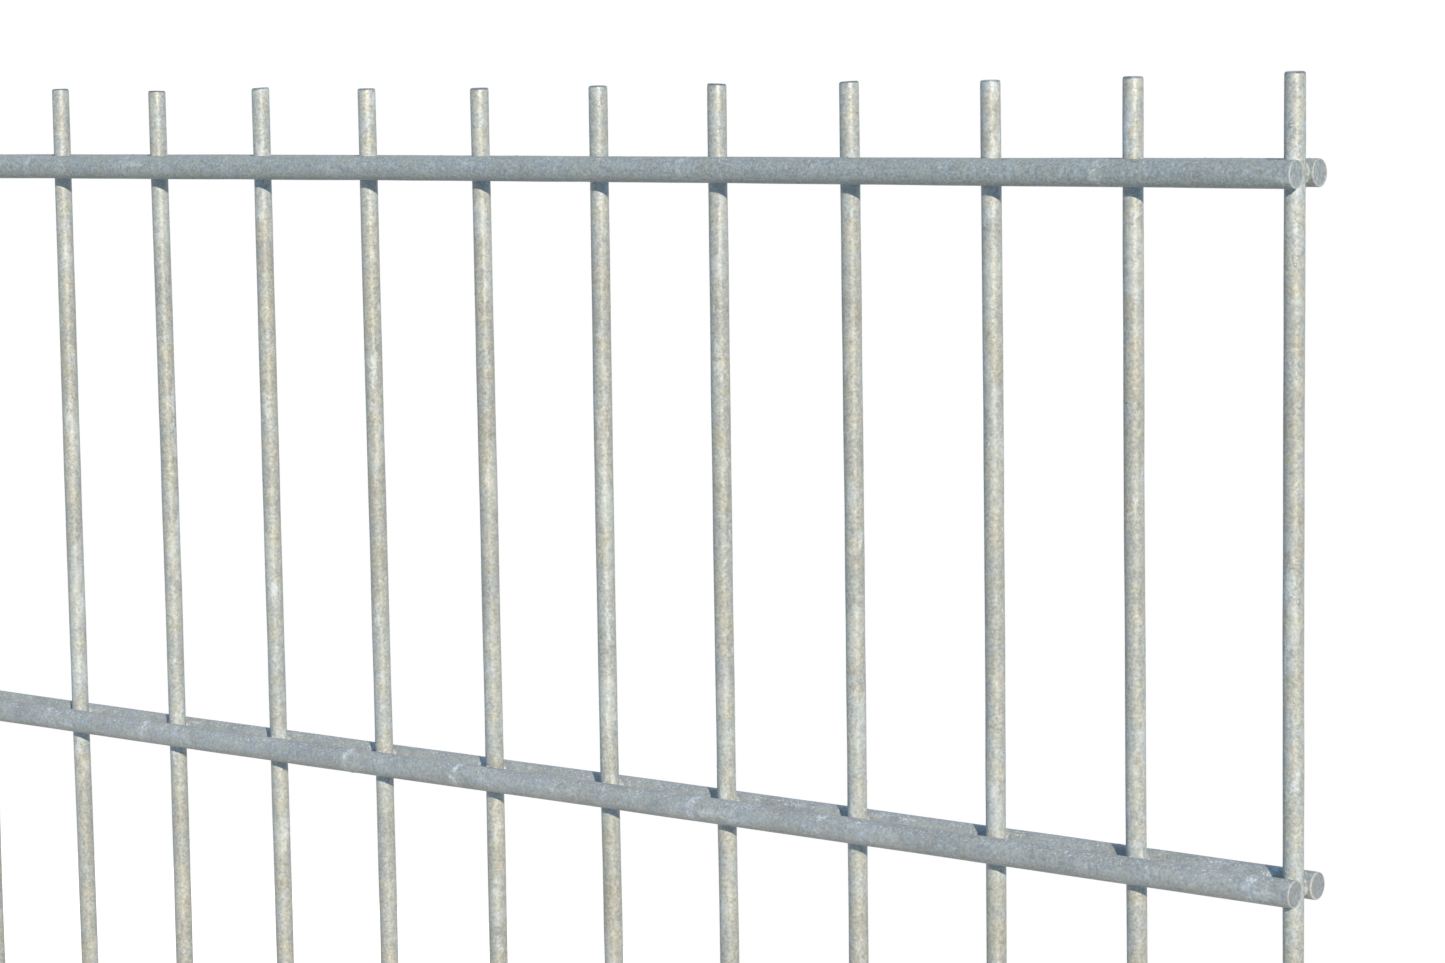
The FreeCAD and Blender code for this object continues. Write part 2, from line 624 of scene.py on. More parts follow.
    def quad_places(self, places: np.ndarray, share: np.ndarray) -> np.ndarray:
        """Lays the bar's wall out on the texture in strips of equal length, one above the other.

        Args:
            places: ring and segment of each corner.
            share: share of the radius at each ring.

        Returns:
            The place of each corner on the texture.
        """
        bands = len(share) - 1
        row, turn = places[..., 0], places[..., 1] / self.segments
        per_strip = math.ceil(bands / self.strips)
        strip = (row[:, :1] // per_strip).clip(max=self.strips - 1)
        ends, sides = self.margin
        across = ends + (1 - 2 * ends) * (row - strip * per_strip) / per_strip
        up = self.slot * self.strips + strip + sides + (1 - 2 * sides) * turn
        wall = np.stack([across, up / (self.slots * self.strips + 1)], -1)
        disc = self.cut_place(share[row], turn, (row[:, :1] > len(share) / 2).astype(int))
        cut = len(self.end.share) - 1
        on_cut = (row[:, 0] < cut) | (row[:, 0] >= bands - cut)
        return np.where(on_cut[:, None, None], disc, wall)

    def fan_places(self) -> np.ndarray:
        """Lays the triangles that close the cut ends out on the texture.

        Returns:
            The place of each corner.
        """
        reach = np.array([0.0, self.end.share[0], self.end.share[0]])
        turns = (np.arange(self.segments)[:, None] + [0, 1]) / self.segments
        corners = [np.insert(turns[:, order], 0, 0.0, axis=1) for order in ([1, 0], [0, 1])]
        return np.concatenate([self.cut_place(reach, turn, far) for far, turn in enumerate(corners)])


# Zinc at the welds


@dataclass
class WeldWebs:
    """The webs of zinc that fill the crevice round every weld along one rail.

    Round a weld, at an angle from the rail's direction towards up, the rail and the upright touch along an
    ellipse whose half axes are the square roots of twice the set-down times each bar's radius. A web is a
    hollow fillet there: at each angle a curve of the second degree runs from a point on the rail to a point
    on the upright, drawn in towards the ellipse, and its two ends are joined under the zinc.

    Attributes:
        bars: makes the bars that the webs lie on.
        rail: the rail.
        reach: how far a web covers each bar past the ellipse.
        run_on: how much farther it runs along a bar than round it.
        sag: extra zinc below the weld.
        most_sag: greatest extra zinc, as a share of that.
        hollow: how far the fillet is drawn in, from 0, straight, to 1, sharp.
        around: points round the weld.
        curve: points across the fillet, as shares of the way from the rail to the upright.
        spread: least and most size of a web.
        lumpy: how uneven a web is round its weld.
        sunk: depth of its edges under the bars' skins.
        most_off: how far off a bar's axis its edge may lie, as a share of the radius.
        above_foot: least height of a web above the uprights' feet.
    """

    bars: "BarMaker"
    rail: RailPlace
    reach: float = 1.4 * MM
    run_on: float = 0.6 * MM
    sag: float = 0.6 * MM
    most_sag: float = 1.6
    hollow: float = 0.65
    around: int = 14
    curve: tuple[float, ...] = (0.0, 0.33, 0.67, 1.0)
    spread: Pair = (0.8, 1.2)
    lumpy: float = 0.22
    sunk: float = 0.16 * MM
    most_off: float = 0.97
    above_foot: float = 0.4 * MM

    def surface(self) -> Surface:
        """Builds all webs of the rail as closed rings.

        Returns:
            The webs' surface.
        """
        layout = self.bars.layout
        uprights = [self.bars.upright(place) for place in layout.all_uprights]
        each = (len(uprights), 1)
        random = Draw.PLACES.numbers(2 * round(self.rail.height / MM) + self.rail.side.value)
        turn = (np.arange(self.around) * TURN / self.around)[None]
        cos, sin = np.cos(turn), np.sin(turn)
        lumps = sum(np.sin(k * turn + random.uniform(0, TURN, each)) / (2.5 * k) for k in (1, 2, 3))
        size = random.uniform(*self.spread, each) * (1 + self.lumpy * lumps)
        sag = self.sag * random.uniform(0.0, self.most_sag, each) * np.clip(-sin, 0, 1) ** 2
        reach, run_on = self.reach * size, self.run_on * size
        half_x = math.sqrt(2 * layout.set_down * layout.upright_radius)
        half_z = math.sqrt(2 * layout.set_down * layout.rail_radius)
        rail_drift, upright_drift = self.drifts(uprights)
        crevice = self.on_rail(half_x * cos + 0 * size, half_z * sin + 0 * size) + rail_drift
        low = self.on_rail((half_x + reach + run_on) * cos, (half_z + reach + 0.5 * sag) * sin) + rail_drift
        high = self.on_upright((half_x + reach) * cos, (half_z + reach + run_on + sag) * sin) + upright_drift
        pull = self.hollow * crevice + (1 - self.hollow) * (low + high) / 2
        curve = [(1 - t) ** 2 * low + 2 * t * (1 - t) * pull + t**2 * high for t in self.curve]
        points = np.stack([*curve, crevice], 2)
        points[..., 0] += np.array([bar.start[0] for bar in uprights])[:, None, None]
        points[..., 2] = np.maximum(points[..., 2] + self.rail.height, layout.foot + self.above_foot)
        quads, corners = grid_corners(self.around, points.shape[2], loop_rows=True)
        across, up = corners[..., 0] / self.around, corners[..., 1] / points.shape[2]
        faces = repeated(points, quads)
        smooth = np.ones(len(faces), bool)
        return Surface(points.reshape(-1, 3), faces, cell_map(len(uprights), across, up), smooth).facing_out()

    def drifts(self, uprights: list[BarShape]) -> tuple[np.ndarray, np.ndarray]:
        """How far both bars' axes have strayed at each weld.

        Args:
            uprights: every upright.

        Returns:
            The rail's and the uprights' places off their straight axes, one row for each weld.
        """
        rail = self.bars.rail(self.rail)
        along = np.array([bar.start[0] for bar in uprights]) - rail.start[0]
        rail_drift = np.insert(rail.axis_drift(along), 0, 0.0, axis=1)
        upright_drift = np.stack([bar.axis_drift(self.rail.height - bar.start[2]) for bar in uprights])
        return rail_drift[:, None], np.insert(upright_drift, 2, 0.0, axis=1)[:, None]

    def under_skin(self, radius: float, off: np.ndarray) -> tuple[np.ndarray, np.ndarray]:
        """Where points a hair below a bar's skin lie, by their distance off its axis across the weld.

        Args:
            radius: the bar's radius.
            off: the distance.

        Returns:
            The distance, kept within the bar, and how far the skin stands out towards the other bar.
        """
        radius -= self.sunk
        off = np.clip(off, -self.most_off * radius, self.most_off * radius)
        return off, np.sqrt(radius**2 - off**2)

    def on_rail(self, x: np.ndarray, z: np.ndarray) -> np.ndarray:
        """Points on the rail's side that faces the upright."""
        z, out = self.under_skin(self.bars.layout.rail_radius, z)
        return np.stack([x, self.rail.side.value * (self.bars.layout.rail_offset - out), z], -1)

    def on_upright(self, x: np.ndarray, z: np.ndarray) -> np.ndarray:
        """Points on the upright's side that faces the rail."""
        x, out = self.under_skin(self.bars.layout.upright_radius, x)
        return np.stack([x, self.rail.side.value * out, z], -1)


@dataclass(frozen=True)
class BeadKind:
    """One kind of small frozen beads of zinc on a bar.

    Attributes:
        draw: what their random numbers are for.
        offset: what is added to the bar's number to draw their lengths.
        count: beads on one bar.
        width: least and most half width.
        height: least and most height over the skin.
        turn: mean and spread of their angle round the bar, in turns; without it they lie all round.
        longest: greatest length of a bead, in widths.
        stray: spread of their distance from an upright; without it they lie anywhere along the bar.
    """

    draw: Draw
    offset: int
    count: int
    width: Pair
    height: Pair
    turn: Pair | None = None
    longest: float = 2.0
    stray: float | None = None


UPRIGHT_GRAINS = BeadKind(Draw.GRAINS, 0, 16, (0.3 * MM, 0.65 * MM), (0.08 * MM, 0.24 * MM))
RAIL_GRAINS = replace(UPRIGHT_GRAINS, count=60)
DRIPS = BeadKind(
    Draw.DRIPS, 1, 12, (0.5 * MM, 0.9 * MM), (0.12 * MM, 0.34 * MM), turn=(-0.25, 0.05), stray=8.0 * MM
)
CREST = BeadKind(
    Draw.CREST, 2, 110, (0.3 * MM, 0.65 * MM), (0.07 * MM, 0.16 * MM), turn=(0.25, 0.02), longest=4.0
)


@dataclass
class ZincBeads:
    """Beads of zinc of one kind on one bar, each an egg whose inner half is sunk in it.

    Attributes:
        bar: the bar.
        kind: how the beads look and lie.
        uprights: nominal X of every upright, beside which a rail's drips gather.
        around: points in each ring.
        rings: rings between the two poles.
        sunk: depth of a bead's rim under the bar's skin.
        from_end: least distance of a bead from the bar's ends.
    """

    bar: BarShape
    kind: BeadKind
    uprights: np.ndarray
    around: int = 8
    rings: int = 4
    sunk: float = 0.03 * MM
    from_end: float = 2.0 * MM

    def laid(self) -> tuple[np.ndarray, ...]:
        """Draws the beads' places and sizes.

        Returns:
            Each bead's distance along the bar, angle round it, half width and height.
        """
        kind, low, high = self.kind, self.from_end, self.bar.length - self.from_end
        random = kind.draw.numbers(self.bar.number)
        if kind.stray:
            near = random.choice(self.uprights, kind.count) - self.bar.start[0]
            along = (near + random.normal(0.0, kind.stray, kind.count)).clip(low, high)
        else:
            along = random.uniform(low, high, kind.count)
        if kind.turn:
            turn = random.normal(kind.turn[0] * TURN, kind.turn[1] * TURN, kind.count)
        else:
            turn = random.uniform(0, TURN, kind.count)
        return along, turn, random.uniform(*kind.width, kind.count), random.uniform(*kind.height, kind.count)

    def surface(self) -> Surface:
        """Builds the beads.

        At a latitude and a turn, a bead's point is out of the bar by its height times the fourth power of
        the latitude's cosine, with the cosine's sign, so that its rim runs out into the skin. It is along
        the bar by its length and round the bar by its width, each times the latitude's sine and the turn's
        cosine or sine.

        Returns:
            The beads' surface.
        """
        along, turn, width, height = (values[:, None] for values in self.laid())
        count = self.kind.count
        random = Draw.BEAD_LENGTHS.numbers(self.bar.number + self.kind.offset)
        long = random.uniform(1.0, self.kind.longest, (count, 1)) * width
        latitude = np.repeat(np.linspace(0.0, math.pi, self.rings + 2)[1:-1], self.around)
        around = np.tile(np.arange(self.around) * TURN / self.around, self.rings)
        rise = height * (np.cos(latitude) ** 3 * np.abs(np.cos(latitude)))
        out = np.concatenate([rise, height, -height], 1)
        poles = np.zeros((count, 2))
        aside = np.concatenate([width * (np.sin(latitude) * np.sin(around)), poles], 1)
        ahead = np.concatenate([long * (np.sin(latitude) * np.cos(around)), poles], 1)
        out = out - self.sunk + self.bar.radius * (1 + self.bar.lump * self.bar.lumps(turn, along))
        cos, sin = np.cos(turn), np.sin(turn)
        across = np.stack([out * cos - aside * sin, out * sin + aside * cos], -1)
        points = self.bar.placed(across + self.bar.axis_drift(along), along + ahead)
        quads, corners = grid_corners(self.rings, self.around)
        faces = repeated(points, quads)
        return Surface(
            points.reshape(-1, 3),
            faces,
            cell_map(count, corners[..., 1] / self.around, (corners[..., 0] + 1) / (self.rings + 1)),
            np.ones(len(faces), bool),
            repeated(points, pole_fans(self.rings, self.around)),
            cell_map(count, *self.fan_places()),
            fan_smooth=True,
        ).facing_out()

    def fan_places(self) -> tuple[np.ndarray, np.ndarray]:
        """Lays the triangles that close a bead's poles out in its cell of the texture.

        Returns:
            How far across and up the cell each of their corners lies.
        """
        j = np.arange(self.around)[:, None]
        across = np.concatenate([j + [0.5, 1, 0], j + [0.5, 0, 1]]) / self.around
        ring = 1 / (self.rings + 1)
        return across, np.repeat([[0.0, ring, ring], [1.0, 1 - ring, 1 - ring]], self.around, axis=0)


# Shader maths


def operator(operation: str, swapped: bool = False) -> Callable[["Term", "Term | float"], "Term"]:
    """Makes a method of a value that is one Math node.

    Args:
        operation: the node's operation.
        swapped: whether the value itself comes second.

    Returns:
        The method.
    """

    def method(self: "Term", other: "Term | float") -> "Term":
        """One Math node on this value and another."""
        values = (other, self) if swapped else (self, other)
        return self.graph.maths(operation, *values)

    return method


class Term:
    """A socket's value in a shader, so that maths on it is written as an expression."""

    __add__ = __radd__ = operator("ADD")
    __mul__ = __rmul__ = operator("MULTIPLY")
    __sub__ = operator("SUBTRACT")
    __rsub__ = operator("SUBTRACT", swapped=True)
    __truediv__ = operator("DIVIDE")
    at_most = operator("MINIMUM")
    at_least = operator("MAXIMUM")

    def __init__(self, graph: "Graph", socket: bpy.types.NodeSocket) -> None:
        """Wraps an output socket of the graph's tree."""
        self.graph = graph
        self.socket = socket

    def size(self) -> "Term":
        """Value without its sign."""
        return self.graph.maths("ABSOLUTE", self)

    def raised(self, least: float) -> "Term":
        """A strength that runs from the given least to 1 instead of from 0 to 1."""
        return least + (1.0 - least) * self

    def rising(self, low: float, high: float) -> "Term":
        """Smooth step from 0 at low to 1 at high; it falls where low is the greater."""
        limits = {"From Min": low, "From Max": high}
        settings = {"interpolation_type": "SMOOTHSTEP", "clamp": True}
        return self.graph.node("ShaderNodeMapRange", settings, {"Value": self, **limits})["Result"]


class Made:
    """A node that was just made, whose outputs are read by name."""

    def __init__(self, graph: "Graph", node: bpy.types.Node) -> None:
        """Keeps the node and its graph."""
        self.graph = graph
        self.node = node

    def __getitem__(self, output: str | int) -> Term:
        """The value of one of the node's outputs."""
        return Term(self.graph, self.node.outputs[output])


class Graph:
    """The node tree of one material or of the world."""

    def __init__(self, tree: bpy.types.NodeTree) -> None:
        """Starts from an empty tree."""
        self.tree = tree
        tree.nodes.clear()

    def node(self, kind: str, settings: dict | None = None, inputs: dict | None = None) -> Made:
        """Makes any node.

        Args:
            kind: the node's type.
            settings: its own properties, which are set first.
            inputs: value or link of each socket, by the socket's name or number.

        Returns:
            The node that was made.
        """
        node = self.tree.nodes.new(kind)
        for name, value in (settings or {}).items():
            setattr(node, name, value)
        for name, value in (inputs or {}).items():
            if isinstance(value, Term):
                self.tree.links.new(value.socket, node.inputs[name])
            else:
                node.inputs[name].default_value = value
        return Made(self, node)

    def maths(self, operation: str, *values: "Term | float") -> Term:
        """One Math node on one or two values."""
        return self.node("ShaderNodeMath", {"operation": operation}, dict(enumerate(values)))["Value"]

    def vector_maths(self, operation: str, first: Term, second: "Term | tuple") -> Term:
        """One Vector Math node on two vectors."""
        return self.node("ShaderNodeVectorMath", {"operation": operation}, {0: first, 1: second})["Vector"]

    def mixed(
        self, kind: Mixing, factor: Term | float, first: Term | Colour, second: Term | Colour
    ) -> Term:
        """Mixes two colours.

        Args:
            kind: how.
            factor: how far, from 0 to 1.
            first: the colour where the factor is 0.
            second: the colour that is mixed in.

        Returns:
            The mixed colour.
        """
        first, second = (side if isinstance(side, Term) else (*side, 1.0) for side in (first, second))
        settings = {"data_type": "RGBA", "blend_type": kind.value, "clamp_factor": True}
        return self.node("ShaderNodeMix", settings, {0: factor, 6: first, 7: second})[2]

    def blend(self, factor: Term | float, first: Term | Colour, second: Term | Colour) -> Term:
        """The first colour where the factor is 0 and the second where it is 1."""
        return self.mixed(Mixing.BLEND, factor, first, second)

    def tinted(self, factor: Term, colour: Term, tint: Colour) -> Term:
        """A colour multiplied, as far as the factor goes, by a tint."""
        return self.mixed(Mixing.MULTIPLY, factor, colour, tint)

    def shaded(self, colour: Term, factor: Term) -> Term:
        """A colour multiplied by a grey value."""
        grey = self.node("ShaderNodeCombineColor", None, {0: factor, 1: factor, 2: factor})["Color"]
        return self.mixed(Mixing.MULTIPLY, 1.0, colour, grey)

    @staticmethod
    def weighed(weights: tuple[float, ...], parts: tuple[Term, ...], start: float | None = None) -> Term:
        """Sum of values, each times its weight.

        Args:
            weights: the weights.
            parts: the values.
            start: what the sum starts from, if not from its first part.

        Returns:
            The sum.
        """
        total = start
        for weight, part in zip(weights, parts):
            total = weight * part if total is None else total + weight * part
        return total

    def axis(self, vector: Term, name: str) -> Term:
        """One coordinate of a vector."""
        return self.node("ShaderNodeSeparateXYZ", None, {0: vector})[name]

    def noise(self, place: Term, size: float, kind: Detail) -> Term:
        """Noise from 0 to 1 whose lumps have the given size."""
        inputs = dict(zip(("Vector", "Scale", "Detail", "Roughness"), (place, 1.0 / size, *kind.value)))
        return self.node("ShaderNodeTexNoise", None, inputs)["Fac"]

    def cells(self, place: Term, size: float, channel: str) -> tuple[Term, Term]:
        """Cells of the given size.

        Args:
            place: the point.
            size: the size.
            channel: name of the colour channel that is read.

        Returns:
            A random value of each cell, and the distance from its middle in sizes.
        """
        made = self.node("ShaderNodeTexVoronoi", None, {"Vector": place, "Scale": 1.0 / size})
        value = self.node("ShaderNodeSeparateColor", None, {0: made["Color"]})[channel]
        return value, made["Distance"]

    def bent(self, place: Term, size: float, reach: float) -> Term:
        """Moves a point by noise, so that patterns on it curl.

        Args:
            place: the point.
            size: size of the noise's lumps.
            reach: how far the noise moves a point at most.

        Returns:
            The moved point.
        """
        inputs = {"Vector": place, "Scale": 1.0 / size, "Detail": 2.0}
        colour = self.node("ShaderNodeTexNoise", None, inputs)["Color"]
        centred = self.vector_maths("SUBTRACT", colour, (0.5, 0.5, 0.5))
        return self.vector_maths("ADD", place, self.vector_maths("MULTIPLY", centred, (2 * reach,) * 3))


# Finishes


@dataclass(frozen=True)
class ZincFinish:
    """Hot-dip zinc: a grey skin with clouds, spangle, curled marks, white specks, runs and pinholes.

    Attributes:
        name: name of the material.
        deep: darkest grey of the clouds.
        plain: usual grey.
        frost: white of the runs and specks.
        along: the way the bar runs, which the runs follow.
        below: factors of the colour where the zinc faces down: painted warm light bounced from the floor.
        above: factors of the colour where it faces up: painted bluish sky shade and reflection on the tips,
            partly their darker sheared zinc.
        warm: factors of the warmer patches and grains.
        cloud: size of the clouds.
        spangle: size of a spangle.
        grain: size of the grain.
        grit: strength of the grain.
        patch: strength of the large pale patches.
        run: width of a pale run.
        run_share: how much of the surface the runs cover, from 0 to 1.
        run_white: how white they are.
        speck_share: how much the specks cover, from 0 to 1.
        top_specks: how much more the specks crowd where the zinc faces up.
        scribble: strength of the thin curled marks.
        draw_mark: strength of the thin marks across the bar that drawing the wire left.
        metal: how metallic the clean zinc is.
        gloss: roughness of the clean zinc.
        relief: height of the bumps.
        relief_share: how much of that height counts.
        weld_bloom: how much more the runs cover beside a weld.
        weld_pale_and_bounce: factors of the colour round the welds of an upright: paler zinc and painted
            bounce light from the rails.
        halo: strength of the speckled ring that the heat of each weld left.
        rim: strength of the pale rim round the cut ends: pale zinc, partly a painted highlight on the rounded
            edge.
        rim_zinc_and_highlight: its colour.
        cut_dark: how much darker the cut faces are.
    """

    name: str
    deep: Colour
    plain: Colour
    frost: Colour
    along: Direction
    below: Colour = (1.0, 1.0, 1.0)
    above: Colour = (1.0, 1.0, 1.0)
    warm: Colour = (1.05, 1.0, 0.94)
    cloud: float = 19.0 * MM
    spangle: float = 2.3 * MM
    grain: float = 1.0 * MM
    grit: float = 1.6
    patch: float = 0.0
    run: float = 4.5 * MM
    run_share: float = 0.3
    run_white: float = 0.6
    speck_share: float = 0.35
    top_specks: float = 0.09
    scribble: float = 0.25
    draw_mark: float = 0.0
    metal: float = 0.05
    gloss: float = 0.5
    relief: float = 0.38 * MM
    relief_share: float = 0.42
    weld_bloom: float = 0.5
    weld_pale_and_bounce: Colour = (1.0, 1.0, 1.0)
    halo: float = 0.0
    rim: float = 0.0
    rim_zinc_and_highlight: Colour = (0.6, 0.6, 0.54)
    cut_dark: float = 0.04

    def material(self, layout: PanelLayout) -> bpy.types.Material:
        """Builds the material.

        Args:
            layout: the panel's sizes, which place the marks beside the welds.

        Returns:
            The finished material.
        """
        made = bpy.data.materials.new(self.name)
        made.use_nodes = True
        ZincShader(self, layout, Graph(made.node_tree)).build()
        return made


@dataclass
class ZincShader:
    """Turns a zinc finish into shader nodes. Each pattern is a strength from 0 to 1.

    Attributes:
        finish: the finish.
        layout: the panel's sizes.
        graph: the material's graph.

    The other fields are the sizes, weights and limits of the patterns. Limits are a pair: where a pattern
    starts to show and where it is at its full strength. Those in millimetres are distances from a weld.
    """

    finish: ZincFinish
    layout: PanelLayout
    graph: Graph
    # Parts of the roughness: white, mottle, spangle, pinholes
    rough_weights: tuple[float, ...] = (0.1, 0.24, 0.06, 0.2)
    # Parts of the height: grain, mottle, clouds, runs, specks, pinholes
    height_weights: tuple[float, ...] = (0.8, 0.3, 0.3, 0.2, 0.15, -0.7)
    metal_loss: float = 0.6
    mottle_grey: float = 0.36
    spangle_grey: float = 0.12
    # Clouds and tints, and how far the zinc faces down, where warm bounce light is painted, and up, where
    # bluish sky shade is painted
    tint_size: float = 0.4
    warm_size: float = 1.3
    cloud_step: Pair = (0.32, 0.66)
    tint_step: Pair = (0.4, 0.62)
    warm_step: Pair = (0.36, 0.64)
    bounce_facing_down: Pair = (0.0, -0.7)
    sky_shade_facing_up: Pair = (0.05, 0.5)
    on_top: Pair = (0.3, 0.9)
    # Paler zinc and painted bounce light under, over and beside a weld of an upright
    low_zone: Pair = (-32.0 * MM, -6.0 * MM)
    high_zone: Pair = (95.0 * MM, 10.0 * MM)
    beside_rail: Pair = (9.0 * MM, 5.0 * MM)
    rail_share: float = 0.32
    # How the point is bent for the curled patterns, the mottle, and the pale runs
    curl: Pair = (2.6 * MM, 1.6 * MM)
    mottle_size: float = 3.0 * MM
    run_draw: float = 0.3
    run_bloom: Pair = (9.0 * MM, 4.0 * MM)
    run_step: Pair = (-0.03, 0.06)
    run_more: float = 0.14
    run_edge: Pair = (0.7, 0.2)
    run_fray: Pair = (0.35, 0.6)
    # Thin curled marks
    mark: float = 2.6 * MM
    mark_break: float = 2.7 * MM
    mark_line: Pair = (0.05, 0.01)
    mark_step: Pair = (0.46, 0.6)
    mark_bare: Pair = (3.0 * MM, 6.0 * MM)
    mark_dense: Pair = (17.0 * MM, 10.0 * MM)
    mark_sparse: float = 0.35
    mark_fray: Pair = (0.4, 0.6)
    # White specks, and the marks of the drawing die
    speck: float = 0.7 * MM
    speck_crowd: float = 7.0 * MM
    speck_more: float = 0.2
    speck_edge: Pair = (0.74, 0.1)
    speck_fade: float = 0.1
    speck_white: float = 0.72
    speck_dull: float = 0.6
    scratch: tuple[float, Colour] = (1.1 * MM, (0.3, 0.3, 1.6))
    scratch_step: Pair = (0.66, 0.74)
    # Large pale patches
    patch: float = 6.0 * MM
    patch_curl: Pair = (5.0 * MM, 1.0 * MM)
    patch_draw: float = 0.35
    patch_step: Pair = (0.78, 0.92)
    patch_fray: Pair = (0.2, 0.6)
    # Speckled rings round the welds
    halo_inside: Pair = (6.4 * MM, 7.8 * MM)
    halo_outside: Pair = (10.4 * MM, 8.8 * MM)
    halo_fray: float = 4.0 * MM
    halo_grain: float = 1.6 * MM
    halo_step: Pair = (0.42, 0.58)
    halo_side: Pair = (2.0 * MM, -2.0 * MM)
    halo_chance: Pair = (0.1, 0.8)
    halo_least: float = 0.3
    halo_right: float = 0.25
    halo_level: float = 0.37
    halo_white: float = 0.25
    # Pinholes, and the rims of the cut ends
    pin_spacing: float = 6.5 * MM
    pin_size: Pair = (0.07, 0.03)
    pin_step: Pair = (0.93, 0.95)
    pin_colour: Colour = (0.08, 0.075, 0.07)
    pin_dark: float = 0.6
    rim_wall: Pair = (0.25 * MM, 0.55 * MM)
    rim_end: Pair = (0.6 * MM, 0.3 * MM)
    rim_fray: Pair = (0.3, 0.5)

    def __post_init__(self) -> None:
        """Makes the values that several patterns share."""
        graph, heights = self.graph, self.layout.rail_heights
        self.place: Term = graph.node("ShaderNodeTexCoord")["Object"]
        self.upward: Term = graph.axis(graph.node("ShaderNodeNewGeometry")["Normal"], "Z")
        self.bent: Term = graph.bent(self.place, *self.curl)
        self.mottle: Term = graph.noise(self.place, self.mottle_size, Detail.FINE)
        self.grain: Term = graph.noise(self.place, self.finish.grain, Detail.GRAINY)
        self.weld, self.past = self.nearest("X", self.layout.all_uprights[0], self.layout.pitch)
        self.level, self.rise = self.nearest("Z", heights[0], heights[1] - heights[0])
        self.from_weld: Term = (self.rise if self.upright else self.past).size()

    @property
    def upright(self) -> bool:
        """Whether the zinc's runs go up and down."""
        return self.finish.along is Direction.UP

    def nearest(self, axis: str, first: float, span: float) -> tuple[Term, Term]:
        """Number of the nearest weld along an axis, and how far past it the point lies.

        Args:
            axis: the axis.
            first: place of the first weld on it.
            span: distance from one weld to the next.

        Returns:
            The number and the distance.
        """
        steps = (self.graph.axis(self.place, axis) - float(first)) / float(span)
        number = self.graph.maths("ROUND", steps)
        return number, (steps - number) * float(span)

    def lengthways(self, point: Term, share: float) -> Term:
        """A point for patterns that are drawn out along the bar, to one over the share of their length."""
        factors = (1.0, 1.0, share) if self.upright else (share, 1.0, 1.0)
        return self.graph.vector_maths("MULTIPLY", point, factors)

    def build(self) -> None:
        """Makes the nodes: the patterns drive the colour, the roughness and the height of the bumps."""
        graph, finish = self.graph, self.finish
        cloud = graph.noise(self.place, finish.cloud, Detail.FINEST)
        shade = graph.cells(self.bent, finish.spangle, "Red")[0]
        halo = self.halos() * finish.halo if finish.halo else 0.0
        runs, specks, pin = self.runs(), self.specks(halo), self.pinholes()
        colour = self.marked(self.clean(cloud, shade))
        colour = graph.blend(runs * finish.run_white, colour, finish.frost)
        if finish.halo:
            colour = graph.blend(halo * self.halo_white, colour, finish.frost)
        colour = graph.blend(specks * self.speck_white, colour, finish.frost)
        if finish.rim:
            colour = self.rimmed(colour)
        colour = graph.blend(pin * self.pin_dark, colour, self.pin_colour)
        white = (runs + specks * self.speck_dull).at_most(1.0)
        parts = (white, self.mottle - HALF, shade - HALF, pin)
        rough = graph.weighed(self.rough_weights, parts, finish.gloss)
        parts = (self.grain, self.mottle, cloud, runs, specks, pin)
        height = graph.weighed(self.height_weights, parts)
        inputs = {"Strength": finish.relief_share, "Distance": finish.relief, "Height": height}
        bump = graph.node("ShaderNodeBump", None, inputs)
        inputs = {
            "Base Color": colour,
            "Metallic": finish.metal * (1.0 - self.metal_loss * white),
            "Roughness": rough,
            "Specular IOR Level": 0.5,
            "Normal": bump["Normal"],
        }
        shader = graph.node("ShaderNodeBsdfPrincipled", None, inputs)
        graph.node("ShaderNodeOutputMaterial", None, {"Surface": shader["BSDF"]})

    def clean(self, cloud: Term, shade: Term) -> Term:
        """Colour of the bare zinc: clouds between two greys, tinted in parts, then shaded by finer patterns.

        Args:
            cloud: the clouds.
            shade: grey of each spangle.

        Returns:
            The colour.
        """
        graph, finish = self.graph, self.finish
        patches = graph.noise(self.place, self.tint_size * finish.cloud, Detail.FINE)
        grains = graph.noise(self.place, self.warm_size * finish.grain, Detail.SHARP)
        colour = graph.blend(cloud.rising(*self.cloud_step), finish.deep, finish.plain)
        tints = (
            (patches.rising(*self.tint_step), finish.warm),
            (grains.rising(*self.warm_step), finish.warm),
            # painted warm bounce light where the zinc faces down
            (self.upward.rising(*self.bounce_facing_down), finish.below),
            # painted bluish sky shade and reflection where it faces up, partly darker sheared zinc at the
            # tips
            (self.upward.rising(*self.sky_shade_facing_up), finish.above),
            # paler zinc and painted bounce light round the welds of an upright
            (self.bounce_and_pale_zone(), finish.weld_pale_and_bounce),
        )
        for factor, tint in tints:
            colour = graph.tinted(factor, colour, tint)
        grit = 1.0 - HALF * finish.grit + finish.grit * self.grain
        mottle = 1.0 - HALF * self.mottle_grey + self.mottle_grey * self.mottle
        spangle = 1.0 - HALF * self.spangle_grey + self.spangle_grey * shade
        return graph.shaded(colour, mottle * spangle * grit)

    def marked(self, colour: Term) -> Term:
        """Adds the large pale patches, the curled marks and the drawing marks to a colour.

        Args:
            colour: the colour.

        Returns:
            The marked colour.
        """
        graph, finish = self.graph, self.finish
        if finish.patch:
            patches = self.patches() * self.mottle.rising(*self.patch_fray)
            colour = graph.blend(patches * finish.patch, colour, finish.frost)
        marks = self.scribbles() * self.grain.rising(*self.mark_fray) * finish.scribble
        if finish.draw_mark:
            marks = marks + self.draw_marks() * finish.draw_mark
        return graph.blend(marks, colour, finish.frost)

